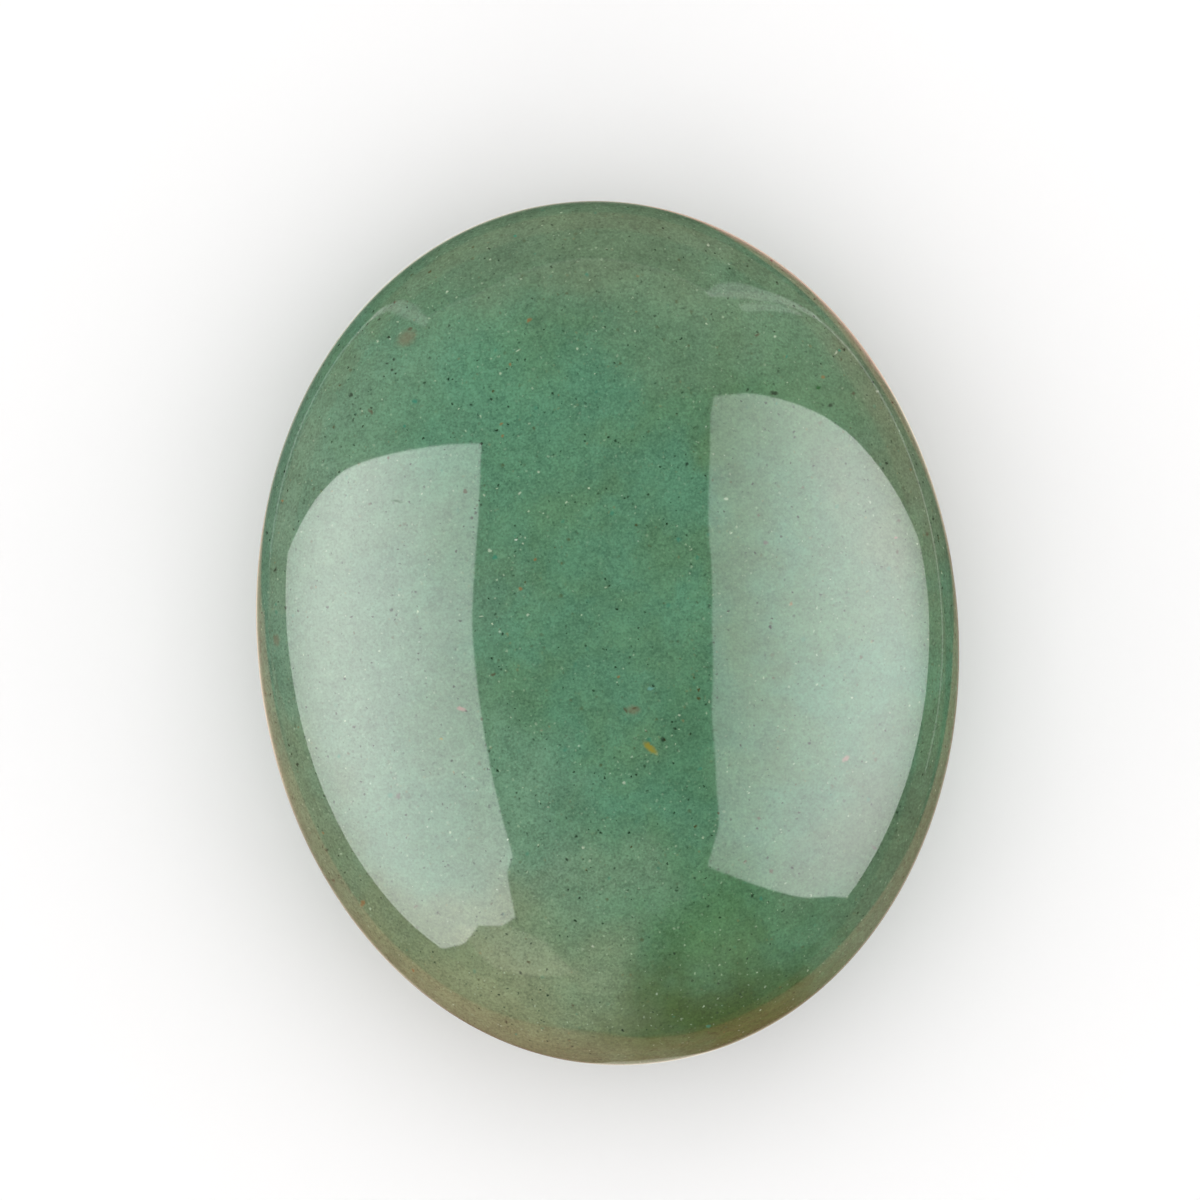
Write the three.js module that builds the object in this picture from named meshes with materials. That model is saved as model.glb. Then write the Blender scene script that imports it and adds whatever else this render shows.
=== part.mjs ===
// A palm stone: an oval pebble of green aventurine that fits the palm of a hand. It is one piece of
// rock, ground and polished to a dome on both faces, which meet in a smoothly rounded edge. A small
// spot is ground flat under the lower dome, and the stone rests on it without rocking.
//
// Millimetres, +Z up. The stone lies flat with its long way along Y and its width along X. The
// origin is the middle of the resting spot.
import * as THREE from "three";
import { mergeVertices } from "three/addons/utils/BufferGeometryUtils.js";

// Driving dimensions
const LENGTH = 60;
const WIDTH = 48.6;
const CROWN_HEIGHT = 10; // from the widest line up to the top of the upper dome
const BELLY_DEPTH = 9.4; // from the widest line down to the tip of the lower dome, before grinding
const SPOT_LENGTH = 15; // the resting spot, measured along the stone

// How full a curve is. 2 is an ellipse, and a higher number fills the corners out.
const OUTLINE_FULLNESS = 2.03; // seen from above
const PROFILE_FULLNESS = 2.2; // seen from the side

// The surface is the six sides of a cube, blown up to the stone's shape, with this many faces along
// each edge. The faces come out much the same size all over, and none of them meet in a pole.
const FACES_PER_EDGE = 24;

// The stone's two curves both come from this: the length of (a, b), measured on a curve as full as
// asked. With fullness 2 it is the usual length.
function fullLength(a, b, fullness) {
  return (Math.abs(a) ** fullness + Math.abs(b) ** fullness) ** (1 / fullness);
}

// How far the resting spot lies below the widest line: where the lower dome is SPOT_LENGTH long.
const SPOT_DEPTH =
  BELLY_DEPTH * (1 - (SPOT_LENGTH / LENGTH) ** PROFILE_FULLNESS) ** (1 / PROFILE_FULLNESS);

// Moves a point of a cube that reaches from -1 to 1 onto a ball of radius 1. The tangent spreads the
// cube's grid evenly over the ball.
function putOnBall(point) {
  point.set(
    Math.tan((point.x * Math.PI) / 4),
    Math.tan((point.y * Math.PI) / 4),
    Math.tan((point.z * Math.PI) / 4),
  );
  point.normalize();
}

// Moves a point of that ball onto the stone, whose resting spot is at height 0.
function putOnStone(point) {
  const girth = fullLength(point.x, point.y, OUTLINE_FULLNESS);
  point.divideScalar(fullLength(girth, point.z, PROFILE_FULLNESS));
  point.x *= WIDTH / 2;
  point.y *= LENGTH / 2;
  point.z *= point.z > 0 ? CROWN_HEIGHT : BELLY_DEPTH;
  point.z = Math.max(point.z + SPOT_DEPTH, 0);
}

function stoneGeometry() {
  const cube = new THREE.BoxGeometry(2, 2, 2, FACES_PER_EDGE, FACES_PER_EDGE, FACES_PER_EDGE);
  cube.deleteAttribute("normal");
  cube.deleteAttribute("uv");
  const geometry = mergeVertices(cube);
  const places = geometry.getAttribute("position");
  const point = new THREE.Vector3();
  for (let i = 0; i < places.count; i++) {
    point.fromBufferAttribute(places, i);
    putOnBall(point);
    putOnStone(point);
    places.setXYZ(i, point.x, point.y, point.z);
  }
  geometry.computeVertexNormals();
  return geometry;
}

const polishedAventurine = new THREE.MeshStandardMaterial({
  color: 0x5c7f66,
  roughness: 0.08,
  metalness: 0,
});

const stone = new THREE.Mesh(stoneGeometry(), polishedAventurine);
stone.name = "stone";

const palmStone = new THREE.Group();
palmStone.name = "palm_stone";
palmStone.add(stone);

export default palmStone;
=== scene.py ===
# %% [markdown]
# # A palm stone of green aventurine
#
# The real thing is one pebble of aventurine, a quartz coloured green by countless flakes of mica. It
# was sawn, ground to an oval with a dome on each face, and polished until it mirrors the lamps. This
# lesson builds it in four parts: the shape, the rock that shows in the surface, the polish, and the
# light that it is photographed in.
#
# The stone's size and place come from the frame, which holds one plain faceted solid. Everything
# here is measured in the stone's own directions: X across, Y along, Z up, with the stone resting on
# the floor at height 0.

# %% Load the frame
import math

import bpy
from mathutils import Matrix, Vector


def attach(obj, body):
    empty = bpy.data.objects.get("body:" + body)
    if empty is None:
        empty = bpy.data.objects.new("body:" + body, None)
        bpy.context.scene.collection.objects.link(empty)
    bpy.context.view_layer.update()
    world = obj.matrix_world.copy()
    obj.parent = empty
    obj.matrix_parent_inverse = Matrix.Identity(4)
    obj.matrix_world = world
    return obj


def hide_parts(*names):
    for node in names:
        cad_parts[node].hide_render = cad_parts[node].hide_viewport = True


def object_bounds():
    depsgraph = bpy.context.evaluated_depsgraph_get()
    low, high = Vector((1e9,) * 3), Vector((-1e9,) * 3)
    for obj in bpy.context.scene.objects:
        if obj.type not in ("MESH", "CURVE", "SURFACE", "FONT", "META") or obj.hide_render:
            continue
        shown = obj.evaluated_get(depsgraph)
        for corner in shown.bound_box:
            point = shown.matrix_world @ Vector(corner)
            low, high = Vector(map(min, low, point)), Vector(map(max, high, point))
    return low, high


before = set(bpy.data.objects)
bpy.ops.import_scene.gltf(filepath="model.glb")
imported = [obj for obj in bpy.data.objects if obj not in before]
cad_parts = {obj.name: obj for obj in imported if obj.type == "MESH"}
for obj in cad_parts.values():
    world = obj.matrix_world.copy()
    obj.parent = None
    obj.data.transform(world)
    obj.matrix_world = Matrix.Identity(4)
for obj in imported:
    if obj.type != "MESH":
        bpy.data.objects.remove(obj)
CAD_LOW, CAD_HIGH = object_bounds()
MM = 0.001
WIDTH, LENGTH, THICKNESS = (CAD_HIGH - CAD_LOW) / MM
print(f"the frame's stone is {WIDTH:.1f} wide, {LENGTH:.1f} long and {THICKNESS:.1f} mm thick")

# %% [markdown]
# ## The camera
#
# The photograph looks straight down on the stone, and the stone's long way leans a little to the
# left in it. The stone stays square to the frame, so the camera is the one that is turned. It is
# placed from three things that can be measured in the picture: how long the stone is in it, how far
# it leans, and how far its middle is from the picture's middle.

# %% Camera
PICTURE_SIDE = 1200
STONE_LENGTH_IN_PICTURE = 865.6
STONE_MIDDLE_IN_PICTURE = (607.6, 633.0)
LEAN = math.radians(5.68)
CAMERA_DISTANCE = 450 * MM
WIDEST_LINE = 0.0092  # height of the stone's widest line

picture_right = Vector((math.cos(LEAN), -math.sin(LEAN), 0))
picture_up = Vector((math.sin(LEAN), math.cos(LEAN), 0))
metres_per_pixel = LENGTH * MM / STONE_LENGTH_IN_PICTURE


def camera_above_stone():
    data = bpy.data.cameras.new("camera")
    data.lens = data.sensor_width * CAMERA_DISTANCE / (metres_per_pixel * PICTURE_SIDE)
    camera = bpy.data.objects.new("camera", data)
    right_of_middle = STONE_MIDDLE_IN_PICTURE[0] - PICTURE_SIDE / 2
    below_middle = STONE_MIDDLE_IN_PICTURE[1] - PICTURE_SIDE / 2
    aim = (picture_up * below_middle - picture_right * right_of_middle) * metres_per_pixel
    height = Vector((0, 0, WIDEST_LINE + CAMERA_DISTANCE))
    turn = Matrix((picture_right, picture_up, (0, 0, 1))).transposed()
    camera.matrix_world = Matrix.Translation(aim + height) @ turn.to_4x4()
    bpy.context.scene.collection.objects.link(camera)
    bpy.context.scene.camera = camera
    return data.lens


print(f"a {camera_above_stone():.0f} mm lens sees {metres_per_pixel * PICTURE_SIDE / MM:.1f} mm of floor")

# %% [markdown]
# ## A helper for node trees
#
# Both the shape and the rock are node trees. Written out socket by socket, a tree of a hundred
# nodes is hard to read, so this helper adds a node and wires it in one call. A value can be a number,
# a vector or another node's output, and the helper links or sets whichever it gets.

# %% The wiring helper
class Wiring:
    """Adds wired nodes to one node tree."""

    def __init__(self, tree):
        self.tree = tree

    def feed(self, socket, value):
        if isinstance(value, bpy.types.NodeSocket):
            self.tree.links.new(value, socket)
        else:
            socket.default_value = value

    def node(self, kind, inputs=None, **settings):
        made = self.tree.nodes.new(kind)
        for name, value in settings.items():
            setattr(made, name, value)
        for name, value in (inputs or {}).items():
            self.feed(made.inputs[name], value)
        return made

    def math(self, operation, *values):
        made = self.node("ShaderNodeMath", operation=operation)
        for socket, value in zip(made.inputs, values):
            self.feed(socket, value)
        return made.outputs[0]

    def vector(self, operation, *values, out="Vector"):
        made = self.node("ShaderNodeVectorMath", operation=operation)
        for socket, value in zip(made.inputs, values):
            self.feed(socket, value)
        return made.outputs[out]

    def times(self, vector, factor):
        made = self.node("ShaderNodeVectorMath", {0: vector, "Scale": factor}, operation="SCALE")
        return made.outputs["Vector"]

    def split(self, vector):
        return tuple(self.node("ShaderNodeSeparateXYZ", {0: vector}).outputs)

    def join(self, x, y, z):
        return self.node("ShaderNodeCombineXYZ", {0: x, 1: y, 2: z}).outputs[0]

    def fade(self, value, start, end):
        """0 at start and 1 at end, with a smooth step between them."""
        inputs = {"Value": value, "From Min": start, "From Max": end}
        return self.node("ShaderNodeMapRange", inputs, interpolation_type="SMOOTHSTEP").outputs[0]


# %% [markdown]
# ## The stone's shape
#
# A pebble could be sculpted, or a sphere could be squashed and smoothed. But a cut stone follows a
# rule, which its grinder holds it to: an outline just fuller than an ellipse, and a profile that is
# fuller still. So it is made by Geometry Nodes, from a cube whose grid is blown up onto that rule.
# A cube has no poles, so the polish shows no pinch on top, where a sphere would have one.
#
# The length of (a, b) along a curve of some fullness is (|a|^f + |b|^f)^(1/f). Dividing a point by
# its length puts it on the curve, once for the outline and once for the profile.

# %% The rule of the shape
SHAPE_INPUTS = {
    "Width": WIDTH * MM,
    "Length": LENGTH * MM,
    "Crown Height": 10 * MM,
    "Belly Depth": 9.4 * MM,
    "Spot Depth": THICKNESS * MM - 10 * MM,
    "Outline Fullness": 2.03,
    "Profile Fullness": 2.2,
    "Hand Ripple": 0.03 * MM,
    "Ripple Size": 9 * MM,
}
SHAPE_COUNTS = {"Faces Per Edge": 126, "Seed": 3}
FLAT_SPOT_KEPT = 1 * MM  # the ripple fades out this near the floor


def full_length(wiring, a, b, fullness):
    """The length of (a, b), measured on a curve of that fullness."""
    powers = [wiring.math("POWER", wiring.math("ABSOLUTE", value), fullness) for value in (a, b)]
    return wiring.math("POWER", wiring.math("ADD", *powers), wiring.math("DIVIDE", 1, fullness))


def point_on_stone(wiring, cube_point, size):
    """Where a point of a cube from -1 to 1 comes to lie on the stone."""
    spread = wiring.vector("TANGENT", wiring.times(cube_point, math.pi / 4))
    ball = wiring.vector("NORMALIZE", spread)
    x, y, z = wiring.split(ball)
    girth = full_length(wiring, x, y, size["Outline Fullness"])
    reach = full_length(wiring, girth, z, size["Profile Fullness"])
    x, y, z = wiring.split(wiring.times(ball, wiring.math("DIVIDE", 1, reach)))
    above = wiring.math("GREATER_THAN", z, 0)
    crown = wiring.math("MULTIPLY", size["Crown Height"], above)
    belly = wiring.math("MULTIPLY", size["Belly Depth"], wiring.math("SUBTRACT", 1, above))
    dome = wiring.math("ADD", crown, belly)
    height = wiring.math("MULTIPLY_ADD", z, dome, size["Spot Depth"])
    return wiring.join(
        wiring.math("MULTIPLY", x, wiring.math("MULTIPLY", size["Width"], 0.5)),
        wiring.math("MULTIPLY", y, wiring.math("MULTIPLY", size["Length"], 0.5)),
        wiring.math("MAXIMUM", height, 0),
    )


# %% [markdown]
# Hand polishing leaves soft ripples a few hundredths of a millimetre deep. The eye can't see them as
# shape, but the lamps' reflections give them away, because their edges wander. The ripple is a
# smooth noise, it only ever takes stone off, and it leaves the ground resting spot flat.

# %% Tree for the shape
def ripple(wiring, size):
    """How far each point is moved, into the stone."""
    place = wiring.node("GeometryNodeInputPosition").outputs[0]
    wave = wiring.node(
        "ShaderNodeTexNoise",
        {
            "Vector": place,
            "W": size["Seed"],
            "Scale": wiring.math("DIVIDE", 1, size["Ripple Size"]),
            "Detail": 1.0,
        },
        noise_dimensions="4D",
    ).outputs[0]
    height = wiring.split(place)[2]
    off_the_spot = wiring.fade(height, 0, FLAT_SPOT_KEPT)
    depth = wiring.math("MULTIPLY", wiring.math("MULTIPLY", wave, size["Hand Ripple"]), off_the_spot)
    normal = wiring.node("GeometryNodeInputNormal").outputs[0]
    return wiring.times(normal, wiring.math("MULTIPLY", depth, -1))


def shape_tree(finish):
    tree = bpy.data.node_groups.new("palm_stone_shape", "GeometryNodeTree")
    for name in SHAPE_INPUTS:
        tree.interface.new_socket(name, in_out="INPUT", socket_type="NodeSocketFloat")
    for name in SHAPE_COUNTS:
        tree.interface.new_socket(name, in_out="INPUT", socket_type="NodeSocketInt")
    tree.interface.new_socket("Geometry", in_out="OUTPUT", socket_type="NodeSocketGeometry")
    wiring = Wiring(tree)
    size = wiring.node("NodeGroupInput").outputs
    grid = wiring.math("ADD", size["Faces Per Edge"], 1)
    cube = wiring.node(
        "GeometryNodeMeshCube",
        {"Size": (2, 2, 2), "Vertices X": grid, "Vertices Y": grid, "Vertices Z": grid},
    )
    place = wiring.node("GeometryNodeInputPosition").outputs[0]
    domed = wiring.node(
        "GeometryNodeSetPosition",
        {"Geometry": cube.outputs["Mesh"], "Position": point_on_stone(wiring, place, size)},
    )
    polished = wiring.node(
        "GeometryNodeSetPosition", {"Geometry": domed.outputs[0], "Offset": ripple(wiring, size)}
    )
    smooth = wiring.node("GeometryNodeSetShadeSmooth", {"Geometry": polished.outputs[0]})
    real = wiring.node("GeometryNodeRealizeInstances", {"Geometry": smooth.outputs[0]})
    finished = wiring.node(
        "GeometryNodeSetMaterial", {"Geometry": real.outputs[0], "Material": finish}
    )
    wiring.node("NodeGroupOutput", {0: finished.outputs[0]})
    return tree


# %% [markdown]
# ## The rock
#
# Aventurine is a mass of fine quartz grains with a different mineral here and there, and the polish
# shows all of it in section. Each kind of thing in the rock is a pattern in three dimensions, read
# from the stone's own coordinates in millimetres, so that it runs on round the edge and underneath as
# the real rock does.
#
# The colour is built from the large to the small. First come the broad zones, where there is more
# mica or more iron. They are few, so they are given one by one as soft ellipsoids and then torn by
# noise, so that no edge of theirs is regular.

# %% Colours of the rock
def shade(red, green, blue):
    """A colour given as a painter reads it from a screen, from 0 to 255, as the light it stands for."""
    parts = [part / 255 for part in (red, green, blue)]
    light = [p / 12.92 if p <= 0.04045 else ((p + 0.055) / 1.055) ** 2.4 for p in parts]
    return (*light, 1)


TEAL = shade(90, 136, 108)
LEAF = shade(93, 133, 101)

CLOUDS_PER_MM = 0.16  # how often the rock turns from teal to leaf green
TEARS_PER_MM = 0.22
TEAR_REACH = 9.0  # mm by which the tears move a zone's edge, at most
ZONE_EDGE = (1.15, 0.35)  # where a zone starts and where it is full, in half sizes from its middle

# Each zone: its middle and its half sizes in mm, its colour, and how strongly it shows there.
ZONES = (
    ("grey green on the left", (-17, 2, 10), (15, 26, 14), shade(114, 143, 120), 0.8),
    ("brownish tint at the top", (2, 27, 10), (20, 8, 14), shade(104, 122, 96), 0.7),
    ("warm tint at the right", (20, 12, 8), (9, 20, 12), shade(119, 126, 101), 0.65),
    ("clear green at the upper left", (-8, 16, 15), (9, 10, 10), shade(96, 146, 116), 0.5),
    ("warm veil at the upper right", (8.5, 20, 15), (9, 6, 8), shade(108, 134, 104), 0.6),
    ("leaf green at the upper right", (14, 14, 15), (6, 6, 8), shade(90, 126, 90), 0.5),
    ("pale green below the middle", (-6, -15, 12), (9, 12, 10), shade(118, 145, 122), 0.8),
    ("pale veil beside it", (-7.5, -9, 17), (4, 6, 8), shade(112, 150, 122), 0.7),
    ("pale haze farther down", (-3, -18, 17), (6, 6, 8), shade(116, 146, 116), 0.6),
    ("deep green below the middle", (5, -8, 18), (3, 6, 8), shade(78, 122, 92), 0.6),
    ("iron stain at the lower left", (-12, -24.5, 9), (16, 12, 14), shade(131, 137, 102), 0.8),
    ("iron stain at the left edge", (-21.5, -11, 11), (5, 10, 8), shade(118, 130, 96), 0.5),
    ("olive at the lower left", (-15, -18, 13), (4, 5, 7), shade(104, 122, 90), 0.6),
    ("olive band", (9.5, 2, 14), (3, 20, 10), shade(92, 122, 84), 0.6),
    ("brown strip at the lower right", (17.5, -16.5, 12), (9, 12, 8), shade(91, 112, 86), 0.75),
    ("leaf green below the middle", (6, -20.5, 14), (6.5, 5.5, 8), shade(82, 120, 76), 0.65),
    ("brown at the bottom edge", (-2, -28, 9), (11, 7, 9), shade(98, 110, 78), 0.7),
    ("dark leaf green at the bottom", (6, -26, 9), (9.5, 7.5, 12), shade(62, 86, 38), 0.95),
)


def rock_places(wiring):
    """The stone's coordinates in millimetres, plain and torn by noise."""
    place = wiring.times(wiring.node("ShaderNodeTexCoord").outputs["Object"], 1 / MM)
    tear = wiring.node("ShaderNodeTexNoise", {"Vector": place, "Scale": TEARS_PER_MM, "Detail": 4.0})
    offset = wiring.vector("SUBTRACT", tear.outputs["Color"], (0.5, 0.5, 0.5))
    return place, wiring.vector("ADD", place, wiring.times(offset, TEAR_REACH))


def blend(wiring, share, below, above):
    made = wiring.node("ShaderNodeMix", data_type="RGBA")
    wiring.feed(made.inputs[0], share)
    wiring.feed(made.inputs[6], below)
    wiring.feed(made.inputs[7], above)
    return made.outputs[2]


def broad_colour(wiring, torn):
    clouds = wiring.node("ShaderNodeTexNoise", {"Vector": torn, "Scale": CLOUDS_PER_MM, "Detail": 3.0})
    colour = blend(wiring, wiring.fade(clouds.outputs[0], 0.35, 0.65), TEAL, LEAF)
    for _, middle, half_sizes, stain, strength in ZONES:
        apart = wiring.vector("DIVIDE", wiring.vector("SUBTRACT", torn, middle), half_sizes)
        nearness = wiring.fade(wiring.vector("LENGTH", apart, out="Value"), *ZONE_EDGE)
        colour = blend(wiring, wiring.math("MULTIPLY", nearness, strength), colour, stain)
    return colour


# %% [markdown]
# The grains are next. Quartz grains are about a third of a millimetre across, and each one is a
# little lighter or darker than its neighbours. A Voronoi texture gives just that, one value to each
# cell. A finer noise over it stands for the mica inside the grains, and a coarser one for the cloudy
# patches that the grains make together.

# %% Grains
DARKEST_GRAIN = 0.155

# Each kind: how many there are to a mm, and by how much the palest is lighter than the darkest.
COARSE_GRAINS = (2.2, 0.12)
FINE_GRAINS = (5.0, 0.18)
MICA_DUST = (6.0, 0.75)
CLOUDY_PATCHES = (0.45, 0.42)


def grain_tone(wiring, place):
    """A number near 1 that makes each grain lighter or darker."""
    tone = DARKEST_GRAIN
    for per_mm, share in (COARSE_GRAINS, FINE_GRAINS):
        cells = wiring.node("ShaderNodeTexVoronoi", {"Vector": place, "Scale": per_mm})
        tone = wiring.math("MULTIPLY_ADD", wiring.split(cells.outputs["Color"])[0], share, tone)
    for (per_mm, share), detail in ((MICA_DUST, 2.0), (CLOUDY_PATCHES, 4.0)):
        noise = wiring.node("ShaderNodeTexNoise", {"Vector": place, "Scale": per_mm, "Detail": detail})
        tone = wiring.math("MULTIPLY_ADD", noise.outputs[0], share, tone)
    return tone


# %% [markdown]
# Scattered through the rock are specks: dark mica and iron ore, rusty grains, and cream ones. The
# cream ones are pale grains with painted sparkle, and the brightest are painted glints: mica that
# catches the light, painted pale into the colour. Placing hundreds by hand would be no lesson, so each
# kind is a Voronoi texture again, in which only some cells have a speck. The cell's own random colour
# has three numbers: one says whether there is a speck, one how large it is, and one how strongly it
# shows. Most specks lie a little under the surface and are faint, and each doubling in strength is
# much rarer. Minus the logarithm of an even random number is spread in just that way.

# %% Scattered specks
# Each kind: cells per mm, share of cells with a speck, largest radius in cells, colour, and the
# strength that is usual for it.
SPECKS = (
    ("dark dust", 2.4, 1.0, 0.32, shade(38, 56, 40), 0.42),
    ("iron ore", 1.1, 0.25, 0.18, shade(22, 38, 24), 0.50),
    ("brown ore", 1.3, 0.70, 0.24, shade(72, 74, 46), 0.30),
    ("rust", 2.0, 0.80, 0.27, shade(140, 108, 60), 0.08),
    # The cream specks are pale grains with painted sparkle in them, and the brightest kind below is
    # painted glints: mica that catches the light, painted pale into the colour.
    ("cream", 2.5, 1.0, 0.30, shade(174, 192, 164), 0.18),
    ("painted mica glint", 1.1, 0.30, 0.13, shade(204, 220, 200), 0.20),
    ("teal mica", 0.9, 0.40, 0.22, shade(58, 128, 104), 0.30),
)

JITTERS_PER_MM = 4.0
JITTER_REACH = 0.25  # mm by which a speck's edge wanders, at most
SPECK_SHIFT = Vector((17.3, 5.1, 11.7))  # mm between one kind's pattern and the next, so that none agree
SMALLEST_SPECK = 0.3  # as a share of the largest of its kind
SPECK_EDGE = (1.1, 0.3)  # where a speck starts and where it is full, in radii from its middle


def uneven_places(wiring, place):
    """The same places, jittered a little, so that no speck is round."""
    rough = wiring.node("ShaderNodeTexNoise", {"Vector": place, "Scale": JITTERS_PER_MM, "Detail": 1.0})
    jitter = wiring.vector("SUBTRACT", rough.outputs["Color"], (0.5, 0.5, 0.5))
    return wiring.vector("ADD", place, wiring.times(jitter, JITTER_REACH))


def scatter(wiring, place, number, per_mm, share, largest, usual):
    """How strongly the specks of one kind cover the surface, from 0 to 1."""
    shifted = wiring.vector("ADD", place, SPECK_SHIFT * number)
    cells = wiring.node("ShaderNodeTexVoronoi", {"Vector": shifted, "Scale": per_mm})
    chosen, size, luck = wiring.split(cells.outputs["Color"])
    size = wiring.math("MULTIPLY_ADD", size, 1 - SMALLEST_SPECK, SMALLEST_SPECK)
    apart = wiring.math("DIVIDE", cells.outputs["Distance"], wiring.math("MULTIPLY", size, largest))
    there = wiring.math("LESS_THAN", chosen, share)
    cover = wiring.math("MULTIPLY", wiring.fade(apart, *SPECK_EDGE), there)
    strength = wiring.math("MULTIPLY", wiring.math("LOGARITHM", luck, math.e), -usual)
    return wiring.math("MULTIPLY", cover, wiring.math("MINIMUM", strength, 1))


def with_specks(wiring, uneven, colour):
    for number, (_, per_mm, share, largest, stain, usual) in enumerate(SPECKS):
        cover = scatter(wiring, uneven, number, per_mm, share, largest, usual)
        colour = blend(wiring, cover, colour, stain)
    return colour


# %% [markdown]
# A few marks are large enough to know the stone by, and they have places of their own: a golden
# splinter, dark pinheads beside it, pink and rusty blots. The larger ones are soft ellipses, each
# with its own turn, and the smallest are round. They lie on the upper face only.

# %% Marks to know it by
GOLD = shade(142, 132, 50)
BLACK = shade(26, 32, 24)
BROWN = shade(84, 78, 60)
RUST = shade(146, 96, 50)
PINK = shade(172, 128, 124)
PLUM = shade(92, 74, 76)
TEAL_BLUE = shade(104, 158, 146)
STAIN = shade(122, 96, 76)
# Cream marks are pale grains, and some are painted glints: mica that catches the light, painted pale.
CREAM_AND_GLINT = shade(204, 214, 190)
DARK_LEAF = shade(26, 84, 36)
MARK_EDGE = (1.25, 0.3)  # where a mark starts and where it is full, in half widths from its middle

# Each group of long marks: its colour, how strongly it covers the rock, and for each mark its middle
# across and along, its length and width in mm, and its turn in degrees from X.
LONG_MARKS = (
    (STAIN, 0.45, ((-11.7, 21.5, 1.7, 1.2, 30), (1.2, -5.3, 1.1, 0.7, -10), (-22.7, 1.8, 0.9, 0.6, 90))),
    (GOLD, 0.9, ((2.1, -8.0, 1.35, 0.48, -48), (-12.0, -6.0, 0.3, 0.2, 0))),
    (BLACK, 0.8, (
        (-13.2, 19.9, 0.36, 0.2, 10), (12.9, 15.2, 0.62, 0.34, -10), (-12.7, 20.1, 0.22, 0.14, 80),
        (-22.3, 6.6, 0.4, 0.18, 60), (23.2, 0.8, 0.3, 0.18, 80), (-9.6, -25.9, 0.32, 0.14, -40),
    )),
    (BROWN, 0.8, (
        (0.7, -5.3, 0.55, 0.18, -65), (1.3, -5.2, 0.4, 0.24, 0), (-11.4, 22.1, 0.36, 0.2, 20),
        (-8.0, -2.0, 0.42, 0.2, 10), (-14.9, -17.3, 0.4, 0.24, 20), (9.5, -17.2, 0.4, 0.3, 70),
        (-14.6, 16.7, 0.5, 0.3, -50), (22.5, 4.6, 0.4, 0.26, 80), (12.2, 19.3, 0.5, 0.26, 10),
        (-20.5, -15.1, 0.34, 0.2, -50),
    )),
    (RUST, 0.6, (
        (-18.6, -16.8, 0.6, 0.34, 60), (-3.2, 21.8, 0.5, 0.3, 30), (-5.6, 3.6, 0.4, 0.26, 0),
        (-5.8, 14.9, 0.36, 0.18, 20),
    )),
    (PINK, 0.65, ((-10.4, -4.1, 0.75, 0.3, -15), (15.3, -10.1, 0.6, 0.44, 30), (20.3, 4.6, 0.3, 0.2, 0))),
    (PLUM, 0.65, ((-15.3, -9.6, 0.55, 0.4, 70), (16.7, -16.4, 0.6, 0.25, -45), (11.3, 5.1, 0.4, 0.3, 0))),
    (TEAL_BLUE, 0.7, ((2.5, -4.0, 0.4, 0.3, 0),)),
    (DARK_LEAF, 0.9, ((-13.4, 10.4, 0.9, 0.24, -15), (16.0, 15.3, 0.4, 0.3, 0))),
    (CREAM_AND_GLINT, 0.5, (
        (-4.2, 19.8, 0.4, 0.16, 30), (-5.0, 10.1, 0.32, 0.18, 30), (-8.4, 2.0, 0.3, 0.16, 0),
        (17.5, 17.6, 0.34, 0.2, 50),
    )),
)

# The same for pinheads, which are round: the middle across and along, and the width.
PINHEADS = (
    (BLACK, 0.8, (
        (3.0, -7.5, 0.42), (3.9, -6.85, 0.21), (-20.7, -12.9, 0.26), (-22.1, -6.9, 0.24),
        (2.7, -3.8, 0.26), (-15.9, 18.0, 0.38), (-12.9, 19.4, 0.24), (16.7, 14.0, 0.36),
        (20.2, 9.7, 0.24), (14.0, 22.8, 0.26), (-7.7, 16.4, 0.28), (6.5, 10.9, 0.27), (3.75, -6.4, 0.2),
        (4.9, -7.3, 0.2), (-13.5, 19.0, 0.18), (-2.1, 16.6, 0.25), (-8.8, 18.3, 0.19),
        (-5.2, 16.0, 0.19), (-7.1, 0.7, 0.23), (-22.7, 9.2, 0.22), (11.1, 15.6, 0.24),
        (13.8, 24.5, 0.24), (16.5, 21.5, 0.2), (18.1, 17.8, 0.2), (19.9, 15.4, 0.23),
        (21.1, 13.9, 0.21), (23.1, 5.6, 0.21), (9.2, 21.0, 0.18), (-8.2, -22.5, 0.24),
        (-6.4, -22.4, 0.2), (-4.3, -15.0, 0.24), (-3.5, -13.5, 0.22), (-3.7, -17.7, 0.2),
        (-4.4, -17.1, 0.18), (-19.6, -14.6, 0.18), (-3.2, -9.1, 0.18),
    )),
    (BROWN, 0.8, (
        (-9.1, -4.9, 0.23), (9.0, -13.5, 0.27), (18.4, 14.7, 0.27), (14.2, 8.6, 0.23), (20.6, 5.7, 0.3),
        (-4.9, -25.1, 0.26), (11.0, 7.0, 0.24),
    )),
    (RUST, 0.6, (
        (16.4, 16.0, 0.29), (12.6, 0.8, 0.29), (-15.6, -21.8, 0.29), (-5.8, 14.1, 0.23),
        (-4.8, 18.9, 0.23), (-4.4, 5.5, 0.24), (-20.8, -11.7, 0.21), (-21.4, 11.3, 0.23),
        (0.4, -3.0, 0.24),
    )),
    (CREAM_AND_GLINT, 0.5, (
        (8.9, 8.3, 0.3), (20.1, 14.7, 0.24), (13.4, 19.1, 0.24), (4.3, -6.0, 0.23), (0.1, -10.2, 0.23),
        (-13.7, 21.5, 0.22), (-7.4, 10.2, 0.22), (-7.4, 6.4, 0.24), (-5.3, 1.8, 0.23),
        (-3.6, 11.4, 0.22), (9.5, 25.9, 0.23), (-3.1, -21.1, 0.24), (-3.1, -14.3, 0.24),
    )),
)


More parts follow.
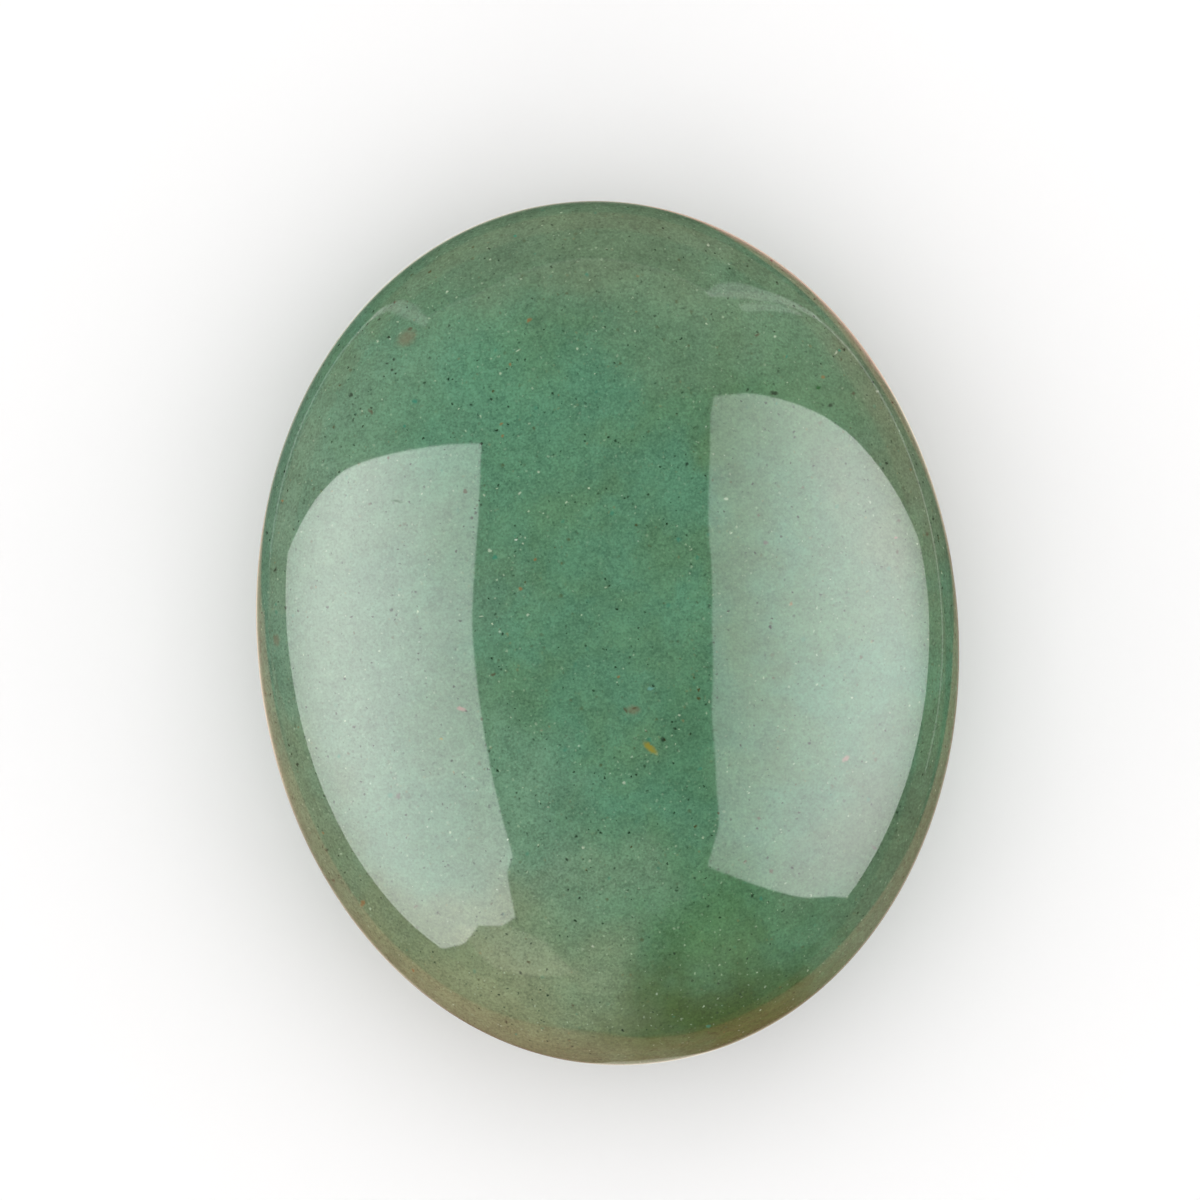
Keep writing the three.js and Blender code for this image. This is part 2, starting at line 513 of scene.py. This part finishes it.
def long_mark(wiring, flat, across, along, length, width, turn):
    """How far each point is from the mark's middle, in half lengths and half widths."""
    inputs = {
        "Vector": flat,
        "Location": (across, along, 0),
        "Rotation": (0, 0, math.radians(turn)),
        "Scale": (length / 2, width / 2, 1),
    }
    here = wiring.node("ShaderNodeMapping", inputs, vector_type="TEXTURE").outputs[0]
    return wiring.vector("LENGTH", here, out="Value")


def pinhead(wiring, flat, across, along, width):
    """How far each point is from the pinhead's middle, in half widths."""
    apart = wiring.vector("DISTANCE", flat, (across, along, 0), out="Value")
    return wiring.math("DIVIDE", apart, width / 2)


def with_marks(wiring, place, colour):
    x, y, height = wiring.split(place)
    flat = wiring.join(x, y, 0)
    marked = colour
    for groups, distance in ((LONG_MARKS, long_mark), (PINHEADS, pinhead)):
        for stain, strength, spots in groups:
            cover = 0.0
            for spot in spots:
                shown = wiring.fade(distance(wiring, flat, *spot), *MARK_EDGE)
                cover = wiring.math("MAXIMUM", cover, shown)
            marked = blend(wiring, wiring.math("MULTIPLY", cover, strength), marked, stain)
    return blend(wiring, wiring.math("GREATER_THAN", height, WIDEST_LINE / MM), colour, marked)


# %% [markdown]
# ## The polish
#
# Polished quartz mirrors about a twentieth of the light that falls on it straight, and more at the
# edge. A Principled shader does that by itself from the refractive index, 1.54. Light also goes
# some way into the stone before it turns back, which is why the grains look soft and the edge
# glows. That is subsurface scattering, over a millimetre or two.
#
# The quartz grains aren't all equally hard, so the polish leaves some of them a fraction of a
# thousandth of a millimetre proud, and some less glossy than others. That is too little for the mesh.
# A bump gives it, and makes the edges of the reflections a little grainy, as they are in the photograph.

# %% Polished aventurine
GRAINS_IN_POLISH = 2.0  # to a mm
GRAIN_STEP = 0.0003 * MM  # how far a hard grain stands proud
GLOSSY_GRAIN, DULL_GRAIN = 0.022, 0.042  # roughness of the polish


def with_uneven_polish(wiring, shader, place):
    inputs = {"Vector": place, "Scale": GRAINS_IN_POLISH, "Detail": 2.0}
    grain = wiring.node("ShaderNodeTexNoise", inputs).outputs[0]
    bump = wiring.node("ShaderNodeBump", {"Strength": 1.0, "Distance": GRAIN_STEP, "Height": grain})
    wiring.feed(shader.inputs["Normal"], bump.outputs[0])
    spread = DULL_GRAIN - GLOSSY_GRAIN
    wiring.feed(shader.inputs["Roughness"], wiring.math("MULTIPLY_ADD", grain, spread, GLOSSY_GRAIN))


def polished_aventurine():
    material = bpy.data.materials.new("polished_aventurine")
    material.use_nodes = True
    wiring = Wiring(material.node_tree)
    shader = material.node_tree.nodes["Principled BSDF"]
    place, torn = rock_places(wiring)
    colour = wiring.times(broad_colour(wiring, torn), grain_tone(wiring, place))
    uneven = uneven_places(wiring, place)
    colour = with_marks(wiring, uneven, with_specks(wiring, uneven, colour))
    wiring.feed(shader.inputs["Base Color"], colour)
    with_uneven_polish(wiring, shader, place)
    shader.inputs["IOR"].default_value = 1.544
    shader.inputs["Subsurface Weight"].default_value = 0.3
    shader.inputs["Subsurface Radius"].default_value = (1.0, 1.4, 1.0)
    shader.inputs["Subsurface Scale"].default_value = 1 * MM
    print(f"the rock is a tree of {len(material.node_tree.nodes)} nodes")
    return material


# %% [markdown]
# ## The finished stone
#
# The tree goes on an empty mesh as a modifier. Its inputs are set by their identifiers, because
# names may repeat. The evaluated result is then copied to a plain mesh and the modifier goes, so
# that what is handed on is only the stone.

# %% Make the stone
def make_stone():
    finish = polished_aventurine()
    maker = bpy.data.objects.new("stone_maker", bpy.data.meshes.new("stone_maker"))
    bpy.context.scene.collection.objects.link(maker)
    modifier = maker.modifiers.new("shape", "NODES")
    modifier.node_group = shape_tree(finish)
    values = {**SHAPE_INPUTS, **SHAPE_COUNTS}
    for item in modifier.node_group.interface.items_tree:
        if item.in_out == "INPUT":
            modifier[item.identifier] = values[item.name]
    graph = bpy.context.evaluated_depsgraph_get()
    mesh = bpy.data.meshes.new_from_object(maker.evaluated_get(graph), depsgraph=graph)
    mesh.name = "palm_stone"
    stone = bpy.data.objects.new("palm_stone", mesh)
    bpy.context.scene.collection.objects.link(stone)
    maker.modifiers.clear()
    bpy.data.objects.remove(maker)
    return stone


stone = make_stone()
print(f"{sum(len(p.vertices) - 2 for p in stone.data.polygons)} triangles")

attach(stone, "root")
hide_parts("stone")

# %% [markdown]
# ## Floor and backdrop
#
# The stone lies on a plain pale floor. A low view would see past the floor's far edge, so a pale
# backdrop curves up from it all round, as a photographer's paper does. It stands behind the lamps, so
# it is lit from behind, and glows evenly. Away from the stone the paper turns a little greyer, so that
# a white reflection on the stone stands out from it. Neither is mirrored in the stone: what the polish
# shows is the room, which the next cells build for it.

# %% Floor and backdrop
PAPER = (0.89, 0.88, 0.88, 1)
FAR_PAPER = (0.72, 0.715, 0.715, 1)
PAPER_TURNS = (0.08, 0.36)  # how far from the stone it starts and ends to turn greyer
BACKDROP_GLOW = (0.78, 0.78, 0.775, 1)
FLOOR_SIDE = 1.6
BACKDROP_FOOT = 0.72  # how far from the stone the backdrop starts to rise
BACKDROP_BEND = 0.2
BACKDROP_TOP = 1.2
BACKDROP_GAP = 0.5 * MM  # it stands this far off the floor
SIDES = 96


def paper(name):
    """A dull paper, with its shader and the helper that wires it."""
    material = bpy.data.materials.new(name)
    material.use_nodes = True
    shader = material.node_tree.nodes["Principled BSDF"]
    shader.inputs["Roughness"].default_value = 0.9
    shader.inputs["Specular IOR Level"].default_value = 0.1
    return material, shader, Wiring(material.node_tree)


def lit_paper():
    material, shader, wiring = paper("pale_paper")
    place = wiring.node("ShaderNodeTexCoord").outputs["Object"]
    away = wiring.vector("LENGTH", place, out="Value")
    colour = blend(wiring, wiring.fade(away, *PAPER_TURNS), PAPER, FAR_PAPER)
    wiring.feed(shader.inputs["Base Color"], colour)
    return material


def glowing_paper():
    material, shader, _ = paper("glowing_paper")
    shader.inputs["Base Color"].default_value = (0, 0, 0, 1)
    shader.inputs["Emission Color"].default_value = BACKDROP_GLOW
    shader.inputs["Emission Strength"].default_value = 1
    return material


def stage_mesh(name, corners, faces, material):
    mesh = bpy.data.meshes.new(name)
    mesh.from_pydata(corners, [], faces)
    mesh.materials.append(material)
    staged = bpy.data.objects.new(name, mesh)
    staged.visible_glossy = False
    bpy.context.scene.collection.objects.link(staged)
    return staged


def floor(material):
    half = FLOOR_SIDE / 2
    corners = [(-half, -half, 0), (half, -half, 0), (half, half, 0), (-half, half, 0)]
    stage_mesh("floor", corners, [(0, 1, 2, 3)], material)


def backdrop(material):
    turns = [math.radians(step) for step in range(0, 91, 10)]
    profile = [
        (BACKDROP_FOOT + BACKDROP_BEND * math.sin(t), BACKDROP_GAP + BACKDROP_BEND * (1 - math.cos(t)))
        for t in turns
    ]
    profile.append((BACKDROP_FOOT + BACKDROP_BEND, BACKDROP_TOP))
    rows = len(profile)
    corners = []
    faces = []
    for side in range(SIDES):
        around = 2 * math.pi * side / SIDES
        corners += [(r * math.cos(around), r * math.sin(around), z) for r, z in profile]
        here = side * rows
        there = (side + 1) % SIDES * rows
        faces += [(here + k, here + k + 1, there + k + 1, there + k) for k in range(rows - 1)]
    wall = stage_mesh("backdrop", corners, faces, material)
    wall.visible_diffuse = False
    wall.visible_shadow = False


floor(lit_paper())
backdrop(glowing_paper())

# %% [markdown]
# ## The room in the polish
#
# The polish is only as good as what it mirrors. So the world is painted by direction, with what can
# be read back from the photograph's reflections. Straight above, where the camera is, the room is
# dark, and the middle of the stone shows its own green. A board stands beyond the stone's far end,
# and cards and lit floor give soft patches of light near the edge. The table under the stone is
# brown: it shows as a tan band just inside the outline, and it darkens in the stone's own shadow.
# Only the polish sees this world. Lamps light the rock and the floor.
#
# Each patch lies between two bent lines. Angles round the stone are counted as in the picture: 0 is
# right, 90 is up. The other angle counts down from the zenith.

# %% Room
# Each patch: how soft its edges are in degrees, the bent lines that bound it above and below, and
# the light that it gives. The points of a line are degrees round the stone and degrees below the
# zenith, and beyond its ends it runs on level.
ROOM = (
    (
        "far board", 2,
        ((62.5, 128), (63.5, 58), (93, 60.3), (117, 57.5), (129, 64), (130, 128)), ((0, 128),),
        (0.08, 0.10, 0.07),
    ),
    (
        "lit part of the far board", 30,
        ((61.5, 140), (63.5, 60), (129, 64), (131, 140)), ((0, 100),),
        (0.22, 0.27, 0.20),
    ),
    (
        "card at the lower left", 2,
        ((-127, 52), (-122, 45), (-115, 41), (-108, 40.5), (-99, 48)),
        ((-127, 51), (-122, 57), (-118, 59), (-114, 57), (-108, 53), (-99, 47)),
        (0.95, 0.90, 0.72),
    ),
    (
        "glow at the lower left", 3,
        ((-175, 110), (-160, 78), (-130, 70), (-117, 66), (-107, 73), (-98, 84)), ((-100, 112),),
        (0.32, 0.16, 0.10),
    ),
    (
        "lit floor at the bottom", 5,
        ((-98, 180), (-91, 138), (-83, 134), (-77, 144), (-70, 180)), ((0, 185),),
        (0.55, 0.55, 0.48),
    ),
    (
        "pink light past the upper right", 6,
        (
            (26, 180), (34, 140), (45, 139), (48.5, 149), (52, 139), (63, 139), (70, 153),
            (80, 160), (86, 182),
        ),
        ((0, 162),),
        (0.50, 0.16, 0.18),
    ),
)
RIM_GLOW = (0.60, 0.56, 0.47)  # the bright floor close by, seen at the very edge of the stone

# It comes into sight between the first two angles from the zenith, and goes out of it between the others.
GLOW_COMES = (140, 174)
GLOW_GOES = (184, 168)

# How bright that floor is: degrees round the stone, and its share of the light.
GLOW_SHARE = (
    (-180, 1.9), (-165, 1.9), (-152, 0.7), (-130, 1.5), (-118, 0.15), (-104, 0.15), (-95, 0.6), (-80, 1.2),
    (-65, 1.5), (-52, 0.5), (-30, 1.0), (-10, 0.6), (9, 0.5), (18, 1.7), (27, 2.3), (38, 1.6), (60, 1.9),
    (75, 1.3), (95, 1.3), (110, 2.2), (135, 2.2), (150, 1.4), (170, 1.2), (180, 2.0),
)
TABLE = (0.88, 0.40, 0.27)

# Where the table comes into sight: degrees round the stone, and degrees below the zenith.
TABLE_EDGE = (
    (-180, 124), (-168, 114), (-155, 108), (-140, 105), (-125, 97), (-100, 80), (-93, 79),
    (-85, 86), (-75, 90), (-63, 92), (-50, 97), (-38, 102), (-30, 109), (-20, 117), (-8, 124),
    (0, 131), (7, 148), (14, 151), (24, 133), (33, 125), (58, 125), (66, 138), (74, 152),
    (90, 168), (165, 168), (180, 130),
)

TABLE_SOFTNESS = 2  # degrees over which its edge fades, to each side
SHADOW_ENDS = (152, 114)  # the table is full in the shadow at the first angle, and out of it at the second
UNDER_STONE = (156, 176)  # and here it goes dark under the stone

# How much of the table's light is left in the stone's shadow, for degrees round the stone.
LIGHT_IN_SHADOW = (
    (-180, 0.6), (-165, 0.75), (-152, 0.4), (28, 0.35), (150, 0.35), (170, 0.45), (180, 0.6),
)


def world_vector(azimuth):
    """The level direction that an angle of the picture stands for."""
    turn = math.radians(azimuth)
    return picture_right * math.cos(turn) + picture_up * math.sin(turn)


def along_bends(wiring, value, bends):
    """The height of a bent line over a value: a sum of ramps, one for each straight piece."""
    height = wiring.math("ADD", 0, bends[0][1])
    for (x, y), (next_x, next_y) in zip(bends, bends[1:]):
        inputs = {"Value": value, "From Min": x, "From Max": next_x, "To Max": next_y - y}
        ramp = wiring.node("ShaderNodeMapRange", inputs)
        height = wiring.math("ADD", height, ramp.outputs[0])
    return height


def patch_cover(wiring, azimuth, down, softness, top, bottom):
    """1 between two bent lines, and 0 beyond them."""
    below_top = wiring.math("SUBTRACT", down, along_bends(wiring, azimuth, top))
    above_bottom = wiring.math("SUBTRACT", along_bends(wiring, azimuth, bottom), down)
    inside = wiring.math("MINIMUM", below_top, above_bottom)
    return wiring.fade(inside, -softness / 2, softness / 2)


def table_cover(wiring, azimuth, down):
    into_view = wiring.math("SUBTRACT", down, along_bends(wiring, azimuth, TABLE_EDGE))
    left = along_bends(wiring, azimuth, LIGHT_IN_SHADOW)
    lost = wiring.math("SUBTRACT", 1, left)
    light = wiring.math("MULTIPLY_ADD", wiring.fade(down, *SHADOW_ENDS), lost, left)
    under_stone = wiring.fade(down, *UNDER_STONE)
    light = wiring.math("MULTIPLY", light, wiring.math("SUBTRACT", 1, under_stone))
    return wiring.math("MULTIPLY", wiring.fade(into_view, -TABLE_SOFTNESS, TABLE_SOFTNESS), light)


# %% [markdown]
# The stone stood in a tent of thin white cloth, which glows a little. Its lower rim shows as a line
# round the stone: inside the line there is the haze of the cloth, and outside it is darker. The rim
# itself is bright where it catches the lamps, in thin lines that widen where the cloth is folded.
# Each bright line is bent, through a few points, and a direction's distance to it is the least of
# its distances to the straight pieces.

# %% The tent and its rim
TENT = (0.55, 0.56, 0.42)
TENT_STARTS = (34, 52)  # degrees below the zenith between which the cloth begins to glow
TENT_DIMS = (104, 66)  # it is dimmest at the first angle and brightest at the second
DIMMEST_TENT = 0.25
TENT_SOFTNESS = 1  # degrees over which the cloth's rim fades, to each side

# Where the cloth ends: degrees round the stone, and degrees below the zenith.
TENT_EDGE = (
    (-180, 115), (-155, 107), (-140, 103), (-125, 95), (-100, 79), (-93, 78), (-85, 84), (-75, 89),
    (-50, 95), (-14, 98), (2, 106), (12, 110), (28, 114), (37, 112.5), (45, 103), (50, 91),
    (54.5, 79), (59, 68), (64, 58), (93, 60.3), (117, 57.5), (129, 64), (131.3, 78), (133.2, 95),
    (137, 108), (145, 116), (158, 120), (174, 116), (180, 115),
)

# How bright the cloth is: degrees round the stone, and its share of the full light.
TENT_BRIGHTNESS = ((-62, 1), (-46, 0.15), (20, 0.15), (34, 1))

RIM_EDGE = (1.25, 0.6)  # where a line starts and where it is full, in half widths from its middle

# Each line: how bright it is, and its points. A point is degrees round the stone, degrees below the
# zenith, and half the line's width.
RIMS = (
    ("right fold", 1.35, (
        (64.5, 57.5, 1.0), (61, 65, 2.7), (57, 73, 3.0), (53.2, 81, 2.0), (49.5, 91, 1.4), (45, 103, 1.2),
    )),
    ("right rim", 0.95, (
        (45, 103, 1.3), (37, 112.5, 1.6), (28, 114, 1.6), (12, 110, 1.3), (2, 106, 1.1), (-14, 98, 1.0),
    )),
    ("fold inside the right one", 1.1, ((57, 61, 1.2), (52.5, 73, 1.1), (47.5, 89, 0.7))),
    ("left fold", 1.05, ((130, 62, 0.9), (131.3, 76, 1.9), (133.2, 95, 1.5), (137, 108, 1.2))),
    ("left rim", 0.75, (
        (135, 104, 1.1), (137, 108, 1.4), (145, 116, 1.7), (158, 120, 1.8), (174, 116, 1.5),
    )),
    ("top of the far board", 0.35, ((129, 64, 0.6), (117, 57.5, 0.7), (93, 60.3, 0.7), (64, 58, 0.6))),
)


def tent_cover(wiring, azimuth, down):
    inside = wiring.math("SUBTRACT", along_bends(wiring, azimuth, TENT_EDGE), down)
    cover = wiring.fade(inside, -TENT_SOFTNESS, TENT_SOFTNESS)
    cover = wiring.math("MULTIPLY", cover, wiring.fade(down, *TENT_STARTS))
    cover = wiring.math("MULTIPLY", cover, along_bends(wiring, azimuth, TENT_BRIGHTNESS))
    glow = wiring.math("MULTIPLY_ADD", wiring.fade(down, *TENT_DIMS), 1 - DIMMEST_TENT, DIMMEST_TENT)
    return wiring.math("MULTIPLY", cover, glow)


def rim_cover(wiring, place, points):
    """1 on a bent line through the points, and 0 beyond its width."""
    cover = 0.0
    for (x, y, width), (next_x, next_y, next_width) in zip(points, points[1:]):
        step = Vector((next_x - x, next_y - y, 0))
        here = wiring.vector("SUBTRACT", place, (x, y, 0))
        share = wiring.vector("DOT_PRODUCT", here, step / step.length_squared, out="Value")
        share = wiring.math("MINIMUM", wiring.math("MAXIMUM", share, 0), 1)
        nearest = wiring.times(step, share)
        distance = wiring.vector("LENGTH", wiring.vector("SUBTRACT", here, nearest), out="Value")
        half_width = wiring.math("MULTIPLY_ADD", share, next_width - width, width)
        piece = wiring.fade(wiring.math("DIVIDE", distance, half_width), *RIM_EDGE)
        cover = wiring.math("MAXIMUM", cover, piece)
    return cover


def look_direction(wiring):
    """Where a mirrored ray goes: degrees round the stone, and degrees below the zenith."""
    direction = wiring.node("ShaderNodeTexCoord").outputs["Generated"]
    down = wiring.math("DEGREES", wiring.math("ARCCOSINE", wiring.split(direction)[2]))
    upward = wiring.vector("DOT_PRODUCT", direction, picture_up, out="Value")
    rightward = wiring.vector("DOT_PRODUCT", direction, picture_right, out="Value")
    return wiring.math("DEGREES", wiring.math("ARCTAN2", upward, rightward)), down


def room():
    world = bpy.data.worlds.new("room")
    world.use_nodes = True
    bpy.context.scene.world = world
    world.cycles_visibility.diffuse = False
    wiring = Wiring(world.node_tree)
    azimuth, down = look_direction(wiring)
    light = wiring.times(TENT, tent_cover(wiring, azimuth, down))
    glow = wiring.math("MULTIPLY", wiring.fade(down, *GLOW_COMES), wiring.fade(down, *GLOW_GOES))
    close_by = wiring.math("MULTIPLY", along_bends(wiring, azimuth, GLOW_SHARE), glow)
    light = wiring.vector("ADD", light, wiring.times(RIM_GLOW, close_by))
    light = wiring.vector("ADD", light, wiring.times(TABLE, table_cover(wiring, azimuth, down)))
    for _, softness, top, bottom, patch_light in ROOM:
        cover = patch_cover(wiring, azimuth, down, softness, top, bottom)
        light = wiring.vector("ADD", light, wiring.times(patch_light, cover))
    place = wiring.join(azimuth, down, 0)
    for _, brightness, points in RIMS:
        rim = wiring.math("MULTIPLY", rim_cover(wiring, place, points), brightness)
        light = wiring.vector("ADD", light, wiring.join(rim, rim, rim))
    wiring.feed(world.node_tree.nodes["Background"].inputs["Color"], light)
    print(f"the room is a tree of {len(world.node_tree.nodes)} nodes")


room()

# %% [markdown]
# ## Softboxes
#
# The photograph shows two large softboxes in the polish, one at each side. Following the edges of
# their reflections back from the dome gives their outlines: rectangles whose corners are cut by the
# black cards round them. A lamp in Blender is a plain rectangle, so its shader does what the cards
# do: it is dark beyond each side of the outline. The cloth is brightest where the bulb is behind it.
#
# A softbox bright enough for its reflection would burn out the floor, so the work is shared, as it
# often is in a studio picture. These two are only seen in the polish, and softer ones light the rest.

# %% Softboxes in the polish
LAMP_DISTANCE = 600
CARD_SOFTNESS = 5  # mm over which a card's edge fades

# Each outline runs clockwise in mm, seen from the stone: the first number goes round the stone
# anticlockwise, and the second goes up towards the zenith. A notch is a corner that points inwards.
# The glow of the bulb is its middle, its reach each way and its brightness, and "edge" is how bright
# the cloth is beyond it. Turn, lean and roll are in degrees.
LEFT_BOX = {
    "turn": 188,
    "lean": 51,
    "roll": 0,
    "outline": (
        (-277, 434), (-150, 434), (275, 374), (412, 297), (428, 240), (520, -118), (444, -182),
        (401, -211), (269, -279), (-182, -439), (-203, -436), (-256, -170), (-275, -40),
    ),
    "notches": (
        ((-150, 434), (-40, 406), (275, 372)),
        ((275, 374), (303, 336), (412, 297)),
        ((428, 240), (417, 158), (480, 40)),
    ),
    "glow": ((-100, 15), (761, 359), 4.3),
    "edge": 2.35,
}
RIGHT_BOX = {
    "turn": -3,
    "lean": 49,
    "roll": -4,
    "outline": (
        (-335, 364), (-106, 433), (-20, 446), (90, 447), (215, 426), (288, 408), (327, 388),
        (345, 280), (345, 30), (336, -80), (309, -224), (252, -455), (230, -472), (150, -474),
        (-390, -246),
    ),
    "notches": (
        ((-335, 364), (-252, 366), (-106, 433)),
        ((-390, -246), (-369, -120), (-364, 50)),
    ),
    "glow": ((10, -35), (611, 466), 6.9),
    "edge": 0.0,
}


def lamp_axes(turn, lean, roll):
    """Which way a lamp's width, its height and its back point."""
    away = world_vector(turn) * math.sin(math.radians(lean))
    away.z = math.cos(math.radians(lean))
    side = Vector((0, 0, 1)).cross(away).normalized()
    rolled = Matrix.Rotation(math.radians(roll), 3, away)
    return rolled @ side, rolled @ away.cross(side), away


def lamp_object(name, axes, width, height, distance, across=0, along=0):
    """A rectangular lamp that faces the stone, shifted in its own plane. All in mm."""
    side, up, away = axes
    data = bpy.data.lights.new(name, "AREA")
    data.shape = "RECTANGLE"
    data.size, data.size_y = width * MM, height * MM
    data.energy = math.pi * data.size * data.size_y  # so that each point of it has brightness 1
    lamp = bpy.data.objects.new(name, data)
    middle = (away * distance + side * across + up * along) * MM + Vector((0, 0, WIDEST_LINE))
    lamp.matrix_world = Matrix.Translation(middle) @ Matrix((side, up, away)).transposed().to_4x4()
    lamp.visible_camera = False
    bpy.context.scene.collection.objects.link(lamp)
    return lamp


def left_of_line(wiring, place, start, end):
    """1 on the left of the line from start to end, which is the dark side, and 0 on its right."""
    run, rise = end[0] - start[0], end[1] - start[1]
    length = math.hypot(run, rise)
    from_start = wiring.vector("SUBTRACT", place, (*start, 0))
    distance = wiring.vector("DOT_PRODUCT", from_start, (-rise / length, run / length, 0), out="Value")
    return wiring.fade(distance, -CARD_SOFTNESS / 2, CARD_SOFTNESS / 2)


def hot_spot(wiring, place, middle, reach, strength):
    """The glow of the bulb behind the cloth: brightest at its middle, and falling off smoothly."""
    apart = wiring.vector("SUBTRACT", place, (*middle, 0))
    apart = wiring.vector("DIVIDE", apart, (*reach, 1))
    squared = wiring.vector("DOT_PRODUCT", apart, apart, out="Value")
    fall = wiring.math("EXPONENT", wiring.math("MULTIPLY", squared, -1))
    return wiring.math("MULTIPLY", fall, strength)


def softbox(name, box):
    outline = box["outline"]
    low_across, high_across = min(p[0] for p in outline), max(p[0] for p in outline)
    low_along, high_along = min(p[1] for p in outline), max(p[1] for p in outline)
    width, height = high_across - low_across, high_along - low_along
    middle = ((low_across + high_across) / 2, (low_along + high_along) / 2)
    axes = lamp_axes(box["turn"], box["lean"], box["roll"])
    lamp = lamp_object(name, axes, width, height, LAMP_DISTANCE, *middle)
    lamp.visible_diffuse = False
    lamp.data.use_nodes = True
    wiring = Wiring(lamp.data.node_tree)
    across, along, _ = wiring.split(wiring.node("ShaderNodeNewGeometry").outputs["Parametric"])
    across = wiring.math("MULTIPLY_ADD", across, width, low_across)
    along = wiring.math("MULTIPLY_ADD", along, height, low_along)
    place = wiring.join(across, along, 0)
    light = wiring.math("ADD", hot_spot(wiring, place, *box["glow"]), box["edge"])
    for start, end in zip(outline, outline[1:] + outline[:1]):
        lit = wiring.math("SUBTRACT", 1, left_of_line(wiring, place, start, end))
        light = wiring.math("MULTIPLY", light, lit)
    for start, corner, end in box["notches"]:
        first = left_of_line(wiring, place, start, corner)
        card = wiring.math("MULTIPLY", first, left_of_line(wiring, place, corner, end))
        light = wiring.math("MULTIPLY", light, wiring.math("SUBTRACT", 1, card))
    wiring.feed(lamp.data.node_tree.nodes["Emission"].inputs["Strength"], light)
    print(f"{name} is {width} by {height} mm behind its cards")


softbox("left_softbox", LEFT_BOX)
softbox("right_softbox", RIGHT_BOX)

# %% Soft light on the rock and the floor
SOFT_LIGHT_DISTANCE = 700  # behind the softboxes, so that no light hides another

# Each light: its turn round the stone and its lean from the zenith in degrees, and its brightness.
SOFT_LIGHTS = (
    ("left_light", 180, 65, 1.32),
    ("right_light", 0, 65, 1.28),
    ("far_light", 90, 65, 1.34),
    ("near_light", -90, 65, 1.32),
    ("top_light", 90, 1, 0.97),
)
SOFT_LIGHT_SIDE = 930

for name, turn, lean, brightness in SOFT_LIGHTS:
    axes = lamp_axes(turn, lean, 0)
    light = lamp_object(name, axes, SOFT_LIGHT_SIDE, SOFT_LIGHT_SIDE, SOFT_LIGHT_DISTANCE)
    light.data.energy *= brightness
    light.visible_glossy = False

bpy.context.scene.view_settings.view_transform = "Standard"
